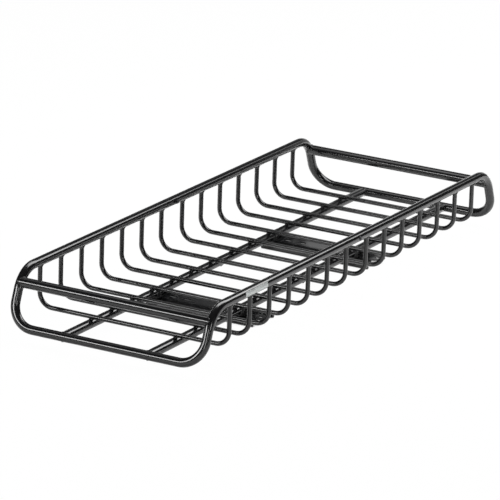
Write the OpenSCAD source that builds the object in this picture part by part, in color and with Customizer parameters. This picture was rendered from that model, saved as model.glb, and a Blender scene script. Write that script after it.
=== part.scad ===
// Roof basket: a long, narrow tubular steel tray for the crossbars of a car roof.
// Millimetres. X runs along the basket with the front at -X, Y runs across it with
// the left side at +Y, Z is up. The underside of the mounting plates is Z = 0.

/* [Overall size] */
// Distance between the axes of the two side rails
rail_span = 584.2; // [560:0.1:620]
// Distance between the axes of the two bottom end tubes
end_span = 1632.4; // [1560:0.1:1700]
// Height of the rail axis above the axis of the bottom end tubes
rail_rise = 142.74; // [138:0.01:170]
// Clear height under the frame tubes, held by the mounting plates
foot_height = 22; // [20:0.5:30]

/* [Frame tube] */
// Outer diameter of the perimeter tube and of the floor bars
tube_d = 25.4; // [24:0.1:27]
// Centre line radius of the bend from rail to end loop
rail_bend_r = 78; // [70:0.5:82]
// Centre line radius of the lower corners of the end loop
corner_r = 67; // [55:0.5:70]
// Lean of the end loop: run towards the middle for each unit of its length
lean_ratio = 0.352; // [0.28:0.001:0.4]

/* [Upper cross tube] */
// Outer diameter of the upper cross tube
cross_d = 28.6; // [27:0.1:30]
// Place of the upper cross tube along the rail bend, in degrees
cross_angle = 55; // [48:0.5:58]

/* [Rail and bar joints] */
// Distance of each seam from the middle of the basket
seam_offset = 45; // [35:0.5:48]
// Diameter of the reduced end that slides into its neighbour
spigot_d = 20.4; // [18:0.1:21.2]
// Gap on the diameter between reduced end and socket
socket_gap = 0.4; // [0.2:0.1:0.8]
// Depth of the socket behind the end of the reduced end
socket_end_gap = 2; // [1:0.5:4]
// Visible gap at each seam
seam_gap = 0.5; // [0.3:0.1:0.8]
// Thread diameter of the joint bolts
joint_bolt_d = 6; // [5:0.5:7]
// Gap on the diameter between bolt and hole
bolt_gap = 0.5; // [0.3:0.1:0.8]
// Diameter of the domed head of a joint bolt
joint_head_d = 13; // [12:0.5:14]
// Height of the domed head above the tube
joint_head_h = 3; // [2.5:0.5:4]
// Thickness of the nut of a joint bolt
joint_nut_h = 5; // [4:0.5:6]
// Width across the corners of the nut of a joint bolt
joint_nut_d = 11.5; // [11:0.5:13]
// Length of thread past the nut
joint_tail = 3; // [2:0.5:4]

/* [Slats] */
// Outer diameter of the slat tube
slat_d = 12.7; // [11:0.1:13]
// Distance from the axis of a bottom end tube to the nearest slat
slat_margin = 139.95; // [135:0.05:145]
// Distance between the two slats either side of the middle
middle_pitch = 111.7; // [105:0.1:114]
// Centre line radius of the slat bends
slat_bend_r = 40; // [32:0.5:48]
// Height of the slat axis above the axis of the bottom end tubes
slat_rise = 18.6; // [18.4:0.1:19]
// Radius of the weld collar where a slat meets a rail
collar_r = 8.5; // [7.5:0.1:9.5]
// Height of that weld collar
collar_h = 5; // [4:0.5:7]
// Radius of the weld between a slat and a floor bar
bead_r = 5; // [4:0.5:6]

/* [Floor bars] */
// Distance between the axes of the two floor bars
bar_span = 260.8; // [240:0.1:280]
// Drop of the bar axis below the axis of the bottom end tubes
bar_drop = 1; // [0.5:0.1:1.5]

/* [Mounting plates] */
// Distance of each plate centre line from the middle of the basket
plate_offset = 313.5; // [300:0.5:320]
// Width of a plate along the basket
plate_w = 111; // [105:0.5:116]
// Width of the raised middle strip that carries the bars
strip_w = 53; // [48:0.5:58]
// Sheet thickness
sheet_t = 3; // [2.5:0.1:3.5]
// Step from the middle strip down to the side shelves
step_h = 6; // [5:0.5:8]
// Run of the sloping step
step_run = 4; // [3:0.5:5]
// Width of the ridge along each side shelf
ridge_w = 8; // [6:0.5:9]
// Height of that ridge above the shelf
ridge_h = 2; // [1.5:0.1:2.5]
// End of the plate body on the left side
plate_left = 148; // [142:0.5:152]
// End of the plate body on the right side
plate_right = 187; // [180:0.5:190]
// Outer diameter of the rolled lower edge on the inner side of a plate
roll_d = 9; // [8:0.5:10]
// Diameter of the hollow inside the rolled edge
roll_bore_d = 4; // [3:0.5:5]
// Length of the rolled edge past each end of the plate
roll_out = 3; // [1:0.5:5]
// Height of the foot of the plain flange on the outer side of a plate
flange_foot = 2; // [1:0.5:4]
// Outermost point of the rounded tongue on the right side
tongue_end = 203; // [198:0.5:210]
// Distance from the plate centre line outwards to the middle of the tongue
tongue_shift = 10.5; // [6:0.5:12]
// Step down from the middle strip to the tongue
tongue_drop = 2; // [1:0.5:2.5]
// Diameter of the hole in the tongue
tongue_hole_d = 13; // [11:0.5:16]
// Distance of that hole from the tip of the tongue
tongue_hole_in = 17; // [16:0.5:20]
// Width of the crossbar slots
slot_w = 13; // [10:0.5:15]
// Length of the crossbar slots
slot_l = 24; // [20:0.5:26]
// Distance of the outer slots from the middle
slot_outer_y = 94; // [90:0.5:96]
// Distance of the inner slots from the middle
slot_inner_y = 49; // [40:0.5:55]

/* [Bar cradles] */
// Diameter of the round bush that clasps a bar
bush_d = 28; // [28:0.5:30]
// Distance from the plate centre line to the bush, towards the front
bush_offset = 32.5; // [30:0.5:32.5]
// Height of the bush above the bar axis
bush_rise = 11.9; // [8:0.1:11.9]
// Width of the pad between a bar and the middle strip
pad_w = 18; // [14:1:22]
// Height of that pad at its edges
pad_h = 2.5; // [2:0.5:3]
// Thickness of that pad under the bar
pad_t = 1; // [0.6:0.1:2]
// Thread diameter of the cradle bolts
cradle_bolt_d = 8; // [7:0.5:9]
// Height of the head of a cradle bolt
cradle_head_h = 5.5; // [5:0.5:6.5]
// Width across the corners of that head
cradle_head_d = 14.8; // [14:0.1:16]
// Depth of the cradle bolts into the bar
cradle_grip = 12; // [9:0.5:14]

/* [Label plate] */
// Length of the blank label on the right rail
label_l = 114; // [100:1:125]
// Place of its front edge along the basket, measured from the middle
label_front = 615; // [600:1:625]
// Thickness of the label
label_t = 0.5; // [0.4:0.1:0.8]
// Upper edge of the label round the rail, in degrees above level
label_up = 38; // [30:1:45]
// Lower edge of the label round the rail, in degrees below level
label_down = 28; // [20:1:35]

/* [Hidden] */
$fn = 64;
tube_r = tube_d / 2;
slat_r = slat_d / 2;
rail_y = rail_span / 2;
end_x = end_span / 2;
end_z = foot_height + tube_r;
loop_lean = asin(lean_ratio);
rail_z = end_z + rail_rise;
turn = 90 - loop_lean;
bend_run = rail_bend_r * tan(turn / 2);
side_l = rail_rise / cos(loop_lean);
bend_x = end_x - rail_rise * tan(loop_lean) - bend_run;
cross_x = bend_x + rail_bend_r * sin(cross_angle);
cross_z = rail_z - rail_bend_r * (1 - cos(cross_angle));
bar_y = bar_span / 2;
bar_z = end_z - bar_drop;
slat_z = end_z + slat_rise;
slat_first = middle_pitch / 2;
slats_per_half = 7;
slat_pitch = (end_x - slat_margin - slat_first) / (slats_per_half - 1);
bolt_hole_d = joint_bolt_d + bolt_gap;
cradle_hole_d = cradle_bolt_d + bolt_gap;
socket_d = spigot_d + socket_gap;
strip_z = bar_z - tube_r - pad_t;
shelf_z = strip_z - step_h;
half_w = plate_w / 2;
half_strip = strip_w / 2;
ridge_x = (half_strip + step_run + half_w) / 2;
over = 1;

// Round rod along X from one place to another
module rod_x(d, from, to, y, z) {
    translate([from, y, z])
        rotate([0, 90, 0])
            cylinder(h = to - from, d = d);
}

// Round rod along Y from one place to another
module rod_y(d, x, from, to, z) {
    translate([x, from, z])
        rotate([-90, 0, 0])
            cylinder(h = to - from, d = d);
}

// Bend of the front half from rail to end loop on one side, a quarter bend cut
// square to the leaning loop
module rail_bend(y) {
    difference() {
        translate([-bend_x, y, rail_z - rail_bend_r])
            rotate([90, 0, 0])
                rotate([0, 0, 90])
                    rotate_extrude(angle = 90)
                        translate([rail_bend_r, 0])
                            circle(d = tube_d);
        translate([-end_x, y, end_z])
            rotate([0, loop_lean, 0])
                translate([-tube_d, -tube_d, side_l - bend_run - 2 * tube_d])
                    cube(2 * tube_d);
    }
}

// One lower quarter of the end loop, drawn upright with the bottom tube on Y
module loop_corner() {
    translate([0, rail_y - corner_r, corner_r])
        rotate([90, 0, 90])
            rotate([0, 0, -90])
                rotate_extrude(angle = 90)
                    translate([corner_r, 0])
                        circle(d = tube_d);
    translate([0, rail_y, corner_r])
        cylinder(h = side_l - corner_r - bend_run, d = tube_d);
}

// Leaning end loop of the front half
module end_loop() {
    translate([-end_x, 0, end_z])
        rotate([0, loop_lean, 0]) {
            loop_corner();
            mirror([0, 1, 0])
                loop_corner();
            rod_y(tube_d, 0, -rail_y + corner_r, rail_y - corner_r, 0);
        }
}

// Tube end with socket: cut for the reduced end of the other half
module socket_cut(y, z) {
    rod_x(socket_d, -seam_offset - socket_end_gap, seam_offset + over, y, z);
}

// Solid outline of the front half tube without its joints
module front_tube_body() {
    rod_x(tube_d, -bend_x, seam_offset, -rail_y, rail_z);
    rod_x(tube_d, -bend_x, -seam_offset - seam_gap, rail_y, rail_z);
    rod_x(spigot_d, -seam_offset - seam_gap - over, seam_offset, rail_y, rail_z);
    rail_bend(-rail_y);
    rail_bend(rail_y);
    end_loop();
}

// One half of the perimeter tube
module half_frame_tube() {
    color("black")
        difference() {
            front_tube_body();
            socket_cut(-rail_y, rail_z);
            rod_y(bolt_hole_d, 0, -rail_y - tube_r - over, -rail_y + tube_r + over, rail_z);
            rod_y(bolt_hole_d, 0, rail_y - tube_r - over, rail_y + tube_r + over, rail_z);
        }
}

// Upper cross tube of the front half, coped round the bends
module half_cross_tube() {
    color("black")
        difference() {
            rod_y(cross_d, -cross_x, -rail_y, rail_y, cross_z);
            rail_bend(-rail_y);
            rail_bend(rail_y);
        }
}

// Floor bar of the front half that ends in a reduced end
module half_bar_plain() {
    color("black")
        difference() {
            union() {
                rod_x(tube_d, -end_x, -seam_offset - seam_gap, -bar_y, bar_z);
                rod_x(spigot_d, -seam_offset - seam_gap - over, seam_offset, -bar_y, bar_z);
            }
            rod_y(tube_d, -end_x, -bar_y - tube_d, -bar_y + tube_d, end_z);
            bar_bolt_bore(-bar_y);
            cradle_bore(-plate_offset, -bar_y);
        }
}

// Floor bar of the front half that ends in a socket
module half_bar_socket() {
    color("black")
        difference() {
            rod_x(tube_d, -end_x, seam_offset, bar_y, bar_z);
            socket_cut(bar_y, bar_z);
            rod_y(tube_d, -end_x, bar_y - tube_d, bar_y + tube_d, end_z);
            bar_bolt_bore(bar_y);
            cradle_bore(-plate_offset, bar_y);
        }
}

// Bore for one bar joint bolt, from below up to just past the bar axis
module bar_bolt_bore(y) {
    translate([0, y, bar_z - tube_d])
        cylinder(h = tube_d + over, d = bolt_hole_d);
}

// Bore for one cradle bolt, from below the plate up into the bar
module cradle_bore(x, y) {
    translate([x, y, strip_z - sheet_t - over])
        cylinder(h = sheet_t + pad_t + cradle_grip + 2 * over, d = cradle_hole_d);
}

// One side of a slat, standing part with bend and half of the floor part
module slat_side() {
    difference() {
        union() {
            translate([0, rail_y, slat_z + slat_bend_r])
                cylinder(h = rail_z - slat_z - slat_bend_r, r = slat_r);
            translate([0, rail_y, rail_z - tube_r - collar_h])
                cylinder(h = collar_h + tube_r, r1 = slat_r, r2 = collar_r + slat_r / 2);
        }
        rod_x(tube_d, -slat_pitch, slat_pitch, rail_y, rail_z);
        translate([0, rail_y, rail_z])
            cube([slat_pitch, tube_d, tube_d], center = true);
    }
    translate([0, rail_y - slat_bend_r, slat_z + slat_bend_r])
        rotate([90, 0, 90])
            rotate([0, 0, -90])
                rotate_extrude(angle = 90)
                    translate([slat_bend_r, 0])
                        circle(r = slat_r);
}

// U-shaped slat welded up to the rails and down to the floor bars
module slat(x) {
    color("black")
        translate([x, 0, 0]) {
            slat_side();
            mirror([0, 1, 0])
                slat_side();
            rod_y(slat_d, 0, -rail_y + slat_bend_r, rail_y - slat_bend_r, slat_z);
            difference() {
                for (y = [-bar_y, bar_y])
                    translate([0, y, bar_z])
                        cylinder(h = slat_z - bar_z, r = bead_r);
                for (y = [-bar_y, bar_y])
                    rod_x(tube_d, -tube_d, tube_d, y, bar_z);
            }
        }
}

// Place of a slat counted from the front, 1 to 14
function slat_x(i) = i <= slats_per_half ? -slat_first - (slats_per_half - i) * slat_pitch
    : slat_first + (i - slats_per_half - 1) * slat_pitch;

// Half of the stepped sheet profile of a mounting plate
module half_profile() {
    polygon([[0, strip_z], [half_strip, strip_z], [half_strip + step_run, shelf_z],
        [ridge_x - ridge_w / 2, shelf_z], [ridge_x - ridge_h, shelf_z + ridge_h],
        [ridge_x + ridge_h, shelf_z + ridge_h], [ridge_x + ridge_w / 2, shelf_z],
        [half_w, shelf_z], [half_w, shelf_z - sheet_t],
        [half_strip + step_run - sheet_t / 2, shelf_z - sheet_t],
        [half_strip - sheet_t / 2, strip_z - sheet_t], [0, strip_z - sheet_t]]);
}

// Profile of the flange on the inner side, down to its rolled lower edge
module flange_profile() {
    difference() {
        union() {
            translate([half_w - sheet_t, roll_d / 2])
                square([sheet_t, shelf_z - roll_d / 2]);
            translate([half_w - roll_d / 2, roll_d / 2])
                circle(d = roll_d);
        }
        translate([half_w - roll_d / 2, roll_d / 2])
            circle(d = roll_bore_d);
    }
}

// Profile of the plain flange on the outer side
module outer_flange_profile() {
    translate([-half_w, flange_foot])
        square([sheet_t, shelf_z - flange_foot]);
}

// Long hole through the middle strip
module slot(y) {
    translate([0, y, strip_z - sheet_t / 2])
        linear_extrude(height = 2 * sheet_t, center = true) {
            translate([0, (slot_l - slot_w) / 2])
                circle(d = slot_w);
            translate([0, -(slot_l - slot_w) / 2])
                circle(d = slot_w);
            square([slot_w, slot_l - slot_w], center = true);
        }
}

// Folded mounting plate of the front half with its tongue towards the right side
module mount_plate() {
    color("black")
        translate([-plate_offset, 0, 0])
            difference() {
                union() {
                    difference() {
                        translate([0, plate_left, 0])
                            rotate([90, 0, 0])
                                linear_extrude(height = plate_left + plate_right) {
                                    half_profile();
                                    mirror([1, 0])
                                        half_profile();
                                    outer_flange_profile();
                                }
                        translate([-tongue_shift, half_strip - tongue_end, strip_z - tongue_drop])
                            cylinder(h = 2 * tongue_drop, d = strip_w);
                    }
                    translate([0, plate_left + roll_out, 0])
                        rotate([90, 0, 0])
                            linear_extrude(height = plate_left + plate_right + 2 * roll_out)
                                flange_profile();
                    translate([-tongue_shift, half_strip - tongue_end, strip_z - tongue_drop - sheet_t])
                        cylinder(h = sheet_t, d = strip_w);
                }
                translate([-tongue_shift, tongue_hole_in - tongue_end, strip_z - 2 * sheet_t])
                    cylinder(h = 3 * sheet_t, d = tongue_hole_d);
                for (y = [-slot_outer_y, -slot_inner_y, slot_inner_y, slot_outer_y])
                    slot(y);
                cradle_bore(0, -bar_y);
                cradle_bore(0, bar_y);
            }
}

// Moulded cradle of a floor bar: a pad on the middle strip and a round bush that
// clasps the bar
module cradle(x, y) {
    difference() {
        union() {
            translate([x - bush_offset, y, strip_z])
                cylinder(h = bar_z + bush_rise - strip_z, d = bush_d);
            translate([x - half_strip - step_run, y - pad_w / 2, strip_z])
                cube([2 * half_strip + step_run, pad_w, pad_h]);
        }
        rod_x(tube_d, x - plate_w, x + plate_w, y, bar_z);
        cradle_bore(x, y);
    }
}

// Cradles of one plate
module cradles(x) {
    color("black") {
        cradle(x, -bar_y);
        cradle(x, bar_y);
    }
}

// Bolt that holds a cradle and its bar down on the plate
module cradle_bolt(x, y) {
    translate([x, y, strip_z - sheet_t])
        cylinder(h = sheet_t + pad_t + cradle_grip, d = cradle_bolt_d);
    translate([x, y, strip_z - sheet_t - cradle_head_h])
        cylinder(h = cradle_head_h, d = cradle_head_d, $fn = 6);
}

// Cradle bolts of one plate
module cradle_bolts(x) {
    color("gray") {
        cradle_bolt(x, -bar_y);
        cradle_bolt(x, bar_y);
    }
}

// Domed bolt with nut through a tube, drawn upright with the head on top
module joint_bolt() {
    difference() {
        union() {
            translate([0, 0, -tube_r - joint_nut_h - joint_tail])
                cylinder(h = tube_d + joint_nut_h + joint_tail, d = joint_bolt_d);
            translate([0, 0, tube_r - over])
                cylinder(h = joint_head_h + over, d1 = joint_head_d, d2 = joint_bolt_d);
            translate([0, 0, -tube_r - joint_nut_h])
                cylinder(h = joint_nut_h, d = joint_nut_d, $fn = 6);
        }
        difference() {
            rod_x(tube_d, -tube_d, tube_d, 0, 0);
            cylinder(h = 2 * tube_d, d = joint_bolt_d, center = true);
        }
    }
}

// Bolts through the rail joints, heads outwards
module rail_joint_bolts() {
    color("gray") {
        translate([0, rail_y, rail_z])
            rotate([-90, 0, 0])
                joint_bolt();
        translate([0, -rail_y, rail_z])
            rotate([90, 0, 0])
                joint_bolt();
    }
}

// Bolt from below through a socket into the reduced end inside it
module bar_joint_bolt(y) {
    translate([0, y, bar_z - tube_r - joint_head_h])
        cylinder(h = tube_r + joint_head_h, d = joint_bolt_d);
    difference() {
        translate([0, y, bar_z - tube_r - joint_head_h])
            cylinder(h = joint_head_h + over, d1 = joint_bolt_d, d2 = joint_head_d);
        rod_x(tube_d, -tube_d, tube_d, y, bar_z);
    }
}

// Bolts of the floor bar joints, heads down
module bar_joint_bolts() {
    color("gray") {
        bar_joint_bolt(bar_y);
        bar_joint_bolt(-bar_y);
    }
}

// Blank label wrapped on the outer side of the right rail
module blank_label() {
    color("silver")
        translate([-label_front, -rail_y, rail_z])
            rotate([90, 0, 90])
                linear_extrude(height = label_l)
                    difference() {
                        circle(r = tube_r + label_t);
                        circle(r = tube_r);
                        rotate([0, 0, 180 - label_up])
                            translate([-tube_d, -2 * tube_d])
                                square([2 * tube_d, 2 * tube_d]);
                        rotate([0, 0, 180 + label_down])
                            translate([-tube_d, 0])
                                square([2 * tube_d, 2 * tube_d]);
                    }
}

half_frame_tube();  // front_frame_tube
rotate([0, 0, 180]) half_frame_tube();  // rear_frame_tube
half_cross_tube();  // front_cross_tube
rotate([0, 0, 180]) half_cross_tube();  // rear_cross_tube
half_bar_socket();  // front_bar_left
half_bar_plain();  // front_bar_right
rotate([0, 0, 180]) half_bar_plain();  // rear_bar_left
rotate([0, 0, 180]) half_bar_socket();  // rear_bar_right
slat(slat_x(1));  // slat_01
slat(slat_x(2));  // slat_02
slat(slat_x(3));  // slat_03
slat(slat_x(4));  // slat_04
slat(slat_x(5));  // slat_05
slat(slat_x(6));  // slat_06
slat(slat_x(7));  // slat_07
slat(slat_x(8));  // slat_08
slat(slat_x(9));  // slat_09
slat(slat_x(10));  // slat_10
slat(slat_x(11));  // slat_11
slat(slat_x(12));  // slat_12
slat(slat_x(13));  // slat_13
slat(slat_x(14));  // slat_14
mount_plate();  // front_mount_plate
mirror([1, 0, 0]) mount_plate();  // rear_mount_plate
cradles(-plate_offset);  // front_cradles
cradles(plate_offset);  // rear_cradles
cradle_bolts(-plate_offset);  // front_cradle_bolts
cradle_bolts(plate_offset);  // rear_cradle_bolts
rail_joint_bolts();
bar_joint_bolts();
blank_label();
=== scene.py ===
# %% [markdown]
# Roof basket: dressing the solid model
#
# The basket is a tray of steel tube for the roof of a car: two welded halves, slid
# together and bolted. Its solids are already made, in metres, with X along the basket,
# Y across it and Z up. They could be built again in Blender, but two models of one
# basket soon differ. So this lesson loads them and leaves them where they are, gives
# them their finishes, adds the weld beads, and photographs the result in a small studio.

# %% Load the solids
import math
import bmesh
import bpy
from mathutils import Matrix, Quaternion, Vector


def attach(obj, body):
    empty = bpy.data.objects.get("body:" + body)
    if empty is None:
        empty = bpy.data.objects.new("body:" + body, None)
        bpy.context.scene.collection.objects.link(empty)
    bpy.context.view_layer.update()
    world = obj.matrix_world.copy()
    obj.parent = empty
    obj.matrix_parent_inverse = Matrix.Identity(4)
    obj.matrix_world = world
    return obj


MM = 0.001

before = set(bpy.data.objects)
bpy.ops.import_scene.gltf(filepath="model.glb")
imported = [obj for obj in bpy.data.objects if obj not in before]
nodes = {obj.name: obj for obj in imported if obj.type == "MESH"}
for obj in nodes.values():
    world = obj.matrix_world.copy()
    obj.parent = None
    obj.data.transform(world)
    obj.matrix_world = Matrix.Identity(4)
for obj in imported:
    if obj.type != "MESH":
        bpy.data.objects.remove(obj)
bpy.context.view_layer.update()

# %% [markdown]
# Helpers for finishes
#
# Paint charts give colours as hex values for the screen, but light adds up in linear
# values, so one function turns hex into linear along the standard curve of a screen.
# A second one adds a shader node with its settings, its values and its links. Each could
# be a line of its own, but a finish reads best when every node in it is one call.

# %% Colour and node helpers
def linear(hex_colour):
    parts = [int(hex_colour[i:i + 2], 16) / 255 for i in (1, 3, 5)]
    return tuple(p / 12.92 if p <= 0.04045 else ((p + 0.055) / 1.055) ** 2.4 for p in parts) + (1.0,)


def add_node(tree, kind, settings=None, values=None, links=None):
    made = tree.nodes.new(kind)
    for key, value in (settings or {}).items():
        setattr(made, key, value)
    for key, value in (values or {}).items():
        made.inputs[key].default_value = value
    for key, source in (links or {}).items():
        tree.links.new(source, made.inputs[key])
    return made


WHITE = linear("#ffffff")
print("white is", WHITE)

# %% [markdown]
# Powder coat
#
# The whole tray is blasted, sprayed with black polyester powder and baked. The powder
# melts into a hard glossy skin, about 0.1 mm deep, that is never quite flat: it has a
# faint orange peel of waves two or three millimetres long.
# A black metal would mirror almost nothing. This skin is a resin, so it is a smooth
# dielectric over a base that is almost black. Its waves could be modelled, but they
# would take millions of faces, so a noise pattern only bends the light. The scale of the
# noise comes from the real length of a wave, and its strength from the real depth.
# Over a weld bead the same powder lies less evenly.

# %% Gloss black powder coat
def new_finish(name):
    finish = bpy.data.materials.new(name)
    finish.use_nodes = True
    finish.node_tree.nodes.clear()
    return finish, finish.node_tree


def opaque_finish(name, colour, looks, wave_mm=None, depth_mm=0.0, detail=0.0):
    finish, tree = new_finish(name)
    layer = add_node(tree, "ShaderNodeBsdfPrincipled", {}, {"Base Color": linear(colour), **looks})
    if wave_mm:
        place = add_node(tree, "ShaderNodeTexCoord")
        waves = add_node(tree, "ShaderNodeTexNoise", {}, {"Scale": 1 / (wave_mm * MM), "Detail": detail},
                         {"Vector": place.outputs["Object"]})
        bump = add_node(tree, "ShaderNodeBump", {}, {"Strength": 1.0, "Distance": depth_mm * MM},
                        {"Height": waves.outputs["Fac"]})
        tree.links.new(bump.outputs["Normal"], layer.inputs["Normal"])
    add_node(tree, "ShaderNodeOutputMaterial", {}, {}, {"Surface": layer.outputs["BSDF"]})
    print("made", name)
    return finish


POLYESTER_IOR = 1.55
# The eye sees deep black, with each lamp mirrored as a bright line that has soft edges.
gloss_coat = opaque_finish("gloss_black_powder_coat", "#101011",
                           {"Roughness": 0.15, "IOR": POLYESTER_IOR},
                           wave_mm=2.5, depth_mm=0.004, detail=1.0)
# The eye sees the same black, with the lines broken into short, duller glints.
weld_coat = opaque_finish("powder_coat_on_weld", "#121213",
                          {"Roughness": 0.22, "IOR": POLYESTER_IOR},
                          wave_mm=1.6, depth_mm=0.12, detail=1.0)

# %% [markdown]
# Moulded cradles
#
# The cradles between the bars and the plates are black nylon filled with glass fibre,
# moulded in a steel tool that gives them a fine grain. The powder coat would pass for it
# from far away, but moulded nylon has no glossy skin, so it gets a rough surface with a
# relief. The grain is drawn 0.8 mm wide, about twice as coarse as a real one, because a
# finer one would not show even from close by.

# %% Moulded black nylon
# The eye sees a soft dark shine without edges, beside the sharper lines on the tubes.
nylon = opaque_finish("moulded_black_nylon", "#101011", {"Roughness": 0.5},
                      wave_mm=0.8, depth_mm=0.03, detail=2.0)

# %% [markdown]
# Dark zinc and silver film
#
# The bolts are steel, plated with zinc and dipped black. The plating is thin and stays a
# metal, so it is made as one, with a dark base that also darkens what it mirrors.
# The small sticker on one rail is aluminised film with a satin face. As a full metal it
# would mirror the dim room and turn dark, so it gets only a little metal over a pale
# grey.

# %% Black zinc and silver film
# The eye sees dark grey heads with small neutral glints.
black_zinc = opaque_finish("black_zinc_plated_steel", "#3a3a3c", {"Metallic": 0.9, "Roughness": 0.32})
# The eye sees a pale satin patch on the black rail.
foil = opaque_finish("satin_aluminised_film", "#b2b6b5", {"Metallic": 0.15, "Roughness": 0.34})

# %% [markdown]
# Finishes on the solids
#
# A solid keeps its shape and its place, and only the material in its slots changes. Each
# solid could be dressed by hand, but the names already say what they are, so the end of
# a name chooses the finish.

# %% Dress the solids
def finish_of(name):
    if name == "blank_label":
        return foil
    if name.endswith("_cradles"):
        return nylon
    if name.endswith("_bolts"):
        return black_zinc
    return gloss_coat


for name, solid in nodes.items():
    for held in solid.material_slots:
        held.material = finish_of(name)
print("finishes on", len(nodes), "solids")

# %% [markdown]
# Weld beads
#
# The tubes and slats of each half are welded by hand. A weld is a low, uneven ring of
# metal in the corner between two tubes, under the same powder. A boolean of two tubes
# would find that corner, but leave a ragged mesh. Here a ring starts as a small circle,
# spun once round the axis of a tube, like a doughnut. Then each point of it slides along
# that tube until it lies on the other one, so the ring takes the saddle shape of the
# joint.
# Last, a ripple as long as one step of the welder swells it. The ring has too few points
# to follow every wave, so what stays of the ripple is the unevenness of hand work.
# The first ring is for the floor bars. They end on the bottom end tubes, which are of
# the same tube and lie one millimetre higher. The ring is a little smaller than the bar,
# so that the bead is partly sunk in it and stays low.

# %% A weld ring, first for the floor bars
WELD_STEP = 2.2 * MM
SWELL = 0.10
BEAD_SIDES = 8
RING_STEPS = 40
TURN = 2 * math.pi


def weld_ring(ring_r, bead_r, other_r, drop=0.0, side=1.0):
    bm = bmesh.new()
    spot = Matrix.Translation((ring_r, 0, 0)) @ Matrix.Rotation(TURN / 4, 4, "X")
    bmesh.ops.create_circle(bm, cap_ends=False, radius=bead_r, segments=BEAD_SIDES, matrix=spot)
    bmesh.ops.spin(bm, geom=bm.verts[:] + bm.edges[:], axis=(0, 0, 1), cent=(0, 0, 0),
                   steps=RING_STEPS, angle=TURN, use_merge=True)
    waves = round(TURN * ring_r / WELD_STEP)
    for v in bm.verts:
        angle = math.atan2(v.co.y, v.co.x)
        centre = Vector((ring_r * math.cos(angle), ring_r * math.sin(angle), 0))
        v.co = centre + (v.co - centre) * (1 + SWELL * math.sin(waves * angle))
        across = centre.y + drop
        v.co.z += side * math.sqrt(max(other_r ** 2 - across ** 2, 0.0))
    ring = bpy.data.meshes.new("one_weld_ring")
    bm.to_mesh(ring)
    bm.free()
    print("a ring of", len(ring.vertices), "points, radius", round(ring_r / MM, 1), "mm")
    return ring


TUBE_R = 12.7 * MM
BAR_Z = 33.7 * MM
END_Z = 34.7 * MM
BAR_SINK = 0.7 * MM
BAR_BEAD = 1.9 * MM
bar_ring = weld_ring(TUBE_R - BAR_SINK, BAR_BEAD, TUBE_R, drop=BAR_Z - END_Z)

# %% [markdown]
# Welds of the floor bars
#
# Each of the four bar ends gets a copy of that ring. The copies could be objects of
# their own, but nobody handles a single bead, so all beads of one kind become one piece.
# The piece rides with the tray.

# %% Rings at the ends of the floor bars
def lay_ring(bm, ring, turn, place):
    held = len(bm.verts)
    bm.from_mesh(ring)
    bm.verts.ensure_lookup_table()
    bmesh.ops.transform(bm, matrix=Matrix.Translation(place) @ turn, verts=bm.verts[held:])


def finish_piece(name, bm, finish):
    bmesh.ops.recalc_face_normals(bm, faces=bm.faces)
    for face in bm.faces:
        face.smooth = True
    mesh = bpy.data.meshes.new(name)
    bm.to_mesh(mesh)
    bm.free()
    mesh.materials.append(finish)
    piece = bpy.data.objects.new(name, mesh)
    bpy.context.scene.collection.objects.link(piece)
    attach(piece, "root")
    print(name, "has", len(mesh.polygons), "faces")


BAR_Y = 130.4 * MM
END_X = 816.2 * MM
ALONG_X = Matrix.Rotation(TURN / 4, 4, "Y") @ Matrix.Rotation(TURN / 4, 4, "Z")
HALF_TURN = Matrix.Rotation(TURN / 2, 4, "Z")

bm = bmesh.new()
for end in (-1, 1):
    for y in (-BAR_Y, BAR_Y):
        turn = ALONG_X if end < 0 else HALF_TURN @ ALONG_X
        lay_ring(bm, bar_ring, turn, (end * END_X, y, BAR_Z))
finish_piece("bar_end_welds", bm, weld_coat)

# %% [markdown]
# Welds of the upper cross tubes
#
# An upper cross tube meets the leaning side of the end loop and is a little thicker than
# it, so its ring lies on that side above and below, and wraps it on both flanks. It
# could be bent by hand to fit, but it is the same saddle as before, tipped to the slope
# of the loop.

# %% Rings at the ends of the cross tubes
CROSS_R = 14.3 * MM
CROSS_X = 772.4 * MM
CROSS_Z = 144.2 * MM
CROSS_SINK = 0.6 * MM
CROSS_BEAD = 2.2 * MM
RAIL_Y = 292.1 * MM
LOOP_SLOPE = math.radians(55)
ALONG_Y = Matrix.Rotation(-TURN / 4, 4, "X")

bm = bmesh.new()
cross_ring = weld_ring(CROSS_R - CROSS_SINK, CROSS_BEAD, TUBE_R)
for end in (-1, 1):
    for side in (-1, 1):
        inward = ALONG_Y if side < 0 else HALF_TURN @ ALONG_Y
        turn = Matrix.Rotation(end * LOOP_SLOPE, 4, "Y") @ inward
        lay_ring(bm, cross_ring, turn, (end * CROSS_X, side * RAIL_Y, CROSS_Z))
finish_piece("cross_tube_welds", bm, weld_coat)

# %% [markdown]
# Welds of the slats
#
# Each slat is a U. Its two tops are welded to the rails from below, and its floor part
# is welded to the two bars that it rests on. The beads are lower here, because the slats
# are thinner. The places of the slats could be listed, but the slats of one half are
# evenly spaced and the other half mirrors them, so their places are worked out.

# %% Rings at the slats
FIRST_SLAT = 55.85 * MM
SLAT_PITCH = 103.4 * MM
SLATS_IN_HALF = 7
RAIL_Z = 177.44 * MM
RAIL_RING = 8.2 * MM
RAIL_BEAD = 1.4 * MM
BAR_SPOT = 5 * MM
SPOT_BEAD = 1.3 * MM
UPRIGHT = Matrix.Identity(4)

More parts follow.
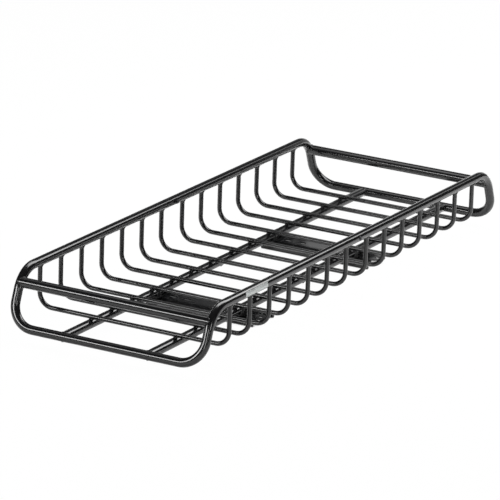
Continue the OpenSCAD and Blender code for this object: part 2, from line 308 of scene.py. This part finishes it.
half_x = [FIRST_SLAT + SLAT_PITCH * i for i in range(SLATS_IN_HALF)]
slat_x = [-x for x in reversed(half_x)] + half_x
bm = bmesh.new()
under_rail = weld_ring(RAIL_RING, RAIL_BEAD, TUBE_R, side=-1.0)
over_bar = weld_ring(BAR_SPOT, SPOT_BEAD, TUBE_R)
for x in slat_x:
    for side in (-1, 1):
        lay_ring(bm, under_rail, UPRIGHT, (x, side * RAIL_Y, RAIL_Z))
        lay_ring(bm, over_bar, UPRIGHT, (x, side * BAR_Y, BAR_Z))
finish_piece("slat_welds", bm, weld_coat)

# %% [markdown]
# White paper
#
# A product is photographed on a wide sheet of white paper. The lamps light it well, but
# not to one clean white all over. Stronger lamps would, but they would flood the basket
# too. So the shader asks what each ray of light is for. Where the camera looks straight
# at it, the paper is plain white, except close round the parts that stand on it or just
# above it. There the white fades by how closed in each place is, and the paper's own grey
# is painted darker too, so the basket does not float: a painted shade on top of the real
# shading from the lamps. In mirrors the paper shows as the lamps light it, with the
# basket's real shadow, the same painted shade, and a tenth of plain white mixed in.

# %% White paper
def kinds_of_ray(tree):
    path = add_node(tree, "ShaderNodeLightPath")
    straight = add_node(tree, "ShaderNodeMath", {"operation": "MAXIMUM"}, {},
                        {0: path.outputs["Is Camera Ray"], 1: path.outputs["Is Transmission Ray"]})
    return straight.outputs[0], path.outputs["Is Glossy Ray"]


def white_paper(shade_reach, mirror_white):
    sheet, tree = new_finish("white_paper_sweep")
    straight, mirrored = kinds_of_ray(tree)
    openness = add_node(tree, "ShaderNodeAmbientOcclusion", {"samples": 8}, {"Distance": shade_reach})
    # Up to a quarter open, a place gets the full painted shade, and from 0.65 on it lies open.
    shut_to_open = {"From Min": 0.25, "From Max": 0.65}
    clear = add_node(tree, "ShaderNodeMapRange", {}, {**shut_to_open, "To Min": 0.10, "To Max": 0.985},
                     {"Value": openness.outputs["AO"]})
    share = add_node(tree, "ShaderNodeMath", {"operation": "MULTIPLY"}, {},
                     {0: straight, 1: clear.outputs["Result"]})
    dimmed = add_node(tree, "ShaderNodeMath", {"operation": "MULTIPLY"}, {1: mirror_white}, {0: mirrored})
    white_part = add_node(tree, "ShaderNodeMath", {"operation": "MAXIMUM"}, {},
                          {0: share.outputs[0], 1: dimmed.outputs[0]})
    # Where the paper is closed in, its grey is painted darker, down to 0.05: painted shade.
    grey = add_node(tree, "ShaderNodeMapRange", {}, {**shut_to_open, "To Min": 0.05, "To Max": 0.87},
                    {"Value": openness.outputs["AO"]})
    matt = add_node(tree, "ShaderNodeBsdfDiffuse", {}, {}, {"Color": grey.outputs["Result"]})
    white = add_node(tree, "ShaderNodeEmission", {}, {"Color": WHITE, "Strength": 1.0})
    mixed = add_node(tree, "ShaderNodeMixShader", {}, {},
                     {0: white_part.outputs[0], 1: matt.outputs[0], 2: white.outputs[0]})
    add_node(tree, "ShaderNodeOutputMaterial", {}, {}, {"Surface": mixed.outputs[0]})
    print("made", sheet.name)
    return sheet


# The eye sees clean white, with a soft shadow close round the feet of the basket, part real and part
# painted shade.
paper = white_paper(shade_reach=21.5 * MM, mirror_white=0.1)

# %% [markdown]
# Floor
#
# The sheet lies flat at the height of zero, where the basket stands, and reaches so far
# that its edge is out of sight. A square would do, but a disc ends equally far away on
# every side.

# %% Studio floor
FLOOR_RADIUS = 60.0

bm = bmesh.new()
bmesh.ops.create_circle(bm, cap_ends=True, radius=FLOOR_RADIUS, segments=96)
mesh = bpy.data.meshes.new("studio_floor")
bm.to_mesh(mesh)
bm.free()
mesh.materials.append(paper)
floor = bpy.data.objects.new("studio_floor", mesh)
bpy.context.scene.collection.objects.link(floor)
print("floor", floor.dimensions)

# %% [markdown]
# Room
#
# Above the floor the studio is dim, so that the gloss black tubes get dark flanks
# between their highlights. With white walls in their mirrors they would turn grey. Walls
# could be modelled, but the world behind everything does the same with three levels of
# light: the camera sees white, mirrors see the dim walls, and matt surfaces get a little
# fill.

# %% Room
def studio_room(fill, walls):
    world = bpy.data.worlds.new("studio_room")
    bpy.context.scene.world = world
    world.use_nodes = True
    tree = world.node_tree
    tree.nodes.clear()
    straight, mirrored = kinds_of_ray(tree)
    matt, mirror, white = [
        add_node(tree, "ShaderNodeBackground", {}, {"Color": WHITE, "Strength": level}).outputs[0]
        for level in (fill, walls, 1.0)
    ]
    inner = add_node(tree, "ShaderNodeMixShader", {}, {}, {0: mirrored, 1: matt, 2: mirror})
    mixed = add_node(tree, "ShaderNodeMixShader", {}, {}, {0: straight, 1: inner.outputs[0], 2: white})
    add_node(tree, "ShaderNodeOutputWorld", {}, {}, {"Surface": mixed.outputs[0]})
    print("room with fill", fill, "and walls", walls)


studio_room(fill=0.25, walls=0.05)

# %% [markdown]
# Softboxes
#
# Long tubes show their shape by the bright lines that softboxes draw along them. A
# softbox is a flat panel of light, and the camera does not see the panel itself. Its
# power could be tried out in watts, but on gloss black the eye sees the panel's mirror
# image. So its brightness is given as the light that it shows, and the power follows.
# One wide box hangs over the rear and right of the tray, turned a little, and draws the
# lines along the rails and the floor bars. A weaker one on the left touches the rear
# cross tube. A low one at the front left draws the lines along the end tubes, the front
# cross tube and the slats.

# %% Boxes for the long lines
CEILING = 2.50


def softbox(name, place, aim, width, height, shown, shape="RECTANGLE", turn=0.0):
    data = bpy.data.lights.new(name, "AREA")
    data.shape = shape
    data.size = width
    data.size_y = height
    area = width * height * (math.pi / 4 if shape == "ELLIPSE" else 1.0)
    data.energy = shown * area * math.pi
    lamp = bpy.data.objects.new(name, data)
    bpy.context.scene.collection.objects.link(lamp)
    lamp.location = place
    lamp.rotation_mode = "QUATERNION"
    lamp.rotation_quaternion = ((Vector(aim) - Vector(place)).to_track_quat("-Z", "Y")
                                @ Quaternion((0, 0, 1), math.radians(turn)))
    lamp.visible_camera = False
    print(name, "shows", shown, "and needs", round(data.energy, 1), "W")


def hung_box(name, x, y, width, height, shown, shape="RECTANGLE", turn=0.0):
    softbox(name, (x, y, CEILING), (x, y, 0.0), width, height, shown, shape, turn)


# After the name come the place, for a softbox the point that it faces, then the width,
# the height and the light that it shows.
hung_box("overhead_box", 1.95, -0.85, 4.40, 1.50, 6.5, turn=-28)
hung_box("left_box", 0.75, 1.15, 1.60, 0.60, 2.2, "ELLIPSE")
softbox("low_front_box", (-2.55, 1.10, 0.95), (-0.60, 0.10, 0.10), 1.50, 0.45, 15.0, "ELLIPSE")

# %% [markdown]
# Short lights on the bends
#
# A bend mirrors a wide part of the room in a short stretch, so a lamp shows there only
# as a spot. The long boxes could be stretched to reach it, but that would move their
# lines too. Two narrow boxes at the front right put the short lights on the outer side
# of the near bend, and a small one in the ceiling puts a spot on its top.

# %% Boxes for the bends
softbox("tall_front_box", (-3.90, -1.74, 0.93), (0.0, 0.0, 0.10), 0.60, 1.40, 8.0)
softbox("right_corner_box", (-1.99, -2.89, 1.04), (-0.78, -0.30, 0.14), 0.45, 0.80, 11.0)
hung_box("ceiling_box", 0.20, 0.60, 0.90, 0.70, 4.5, "ELLIPSE")

# %% [markdown]
# Faint lights
#
# Between the lines the tubes are not all equally black, because a real room has paler
# corners. A brighter room would lift every dark flank at once, so five weak panels stand
# for those corners. They lift the far end of the rails, the flat of the rear plate with
# parts of the rear bars, the bends, the upper flanks of the cross tubes, and the front
# plate.

# %% Weak panels
hung_box("overhead_end", 4.60, -1.00, 1.80, 0.70, 1.5)
softbox("rear_card", (1.75, 0.23, 0.32), (0.0, 0.23, 0.32), 1.26, 0.60, 0.6)
hung_box("bend_glow", 0.45, -0.10, 1.70, 0.55, 1.4, "ELLIPSE")
hung_box("dim_ceiling", 0.30, 1.50, 2.00, 0.70, 0.6)
softbox("rear_wall", (1.90, 1.70, 0.75), (0.0, 1.10, 0.20), 1.80, 1.40, 0.11)

# %% [markdown]
# Camera
#
# The picture was taken from the front right with a very long lens, about thirteen metres
# away, so the tray hardly narrows towards its far end. A shorter lens from nearby could
# frame it as well, but would spread its near end. The camera turns by less than two
# degrees about its own axis, as in the picture.

# %% Camera
SENSOR_MM = 36.0
NEAR = 0.5
FAR = 200.0


def place_camera(place, azimuth, elevation, roll, lens_mm):
    data = bpy.data.cameras.new("long_lens")
    data.lens = lens_mm
    data.sensor_width = SENSOR_MM
    data.clip_start = NEAR
    data.clip_end = FAR
    camera = bpy.data.objects.new("long_lens", data)
    bpy.context.scene.collection.objects.link(camera)
    turn = (Matrix.Rotation(math.radians(azimuth), 4, "Z")
            @ Matrix.Rotation(math.radians(90 - elevation), 4, "X")
            @ Matrix.Rotation(math.radians(roll), 4, "Z"))
    camera.matrix_world = Matrix.Translation(place) @ turn
    bpy.context.scene.camera = camera
    return camera


camera = place_camera((-10.7727, -6.1006, 3.9746), azimuth=-60.321, elevation=17.432, roll=1.845,
                      lens_mm=340.05)
bpy.context.scene.view_settings.view_transform = "Standard"
print("camera", [round(v, 3) for v in camera.location])
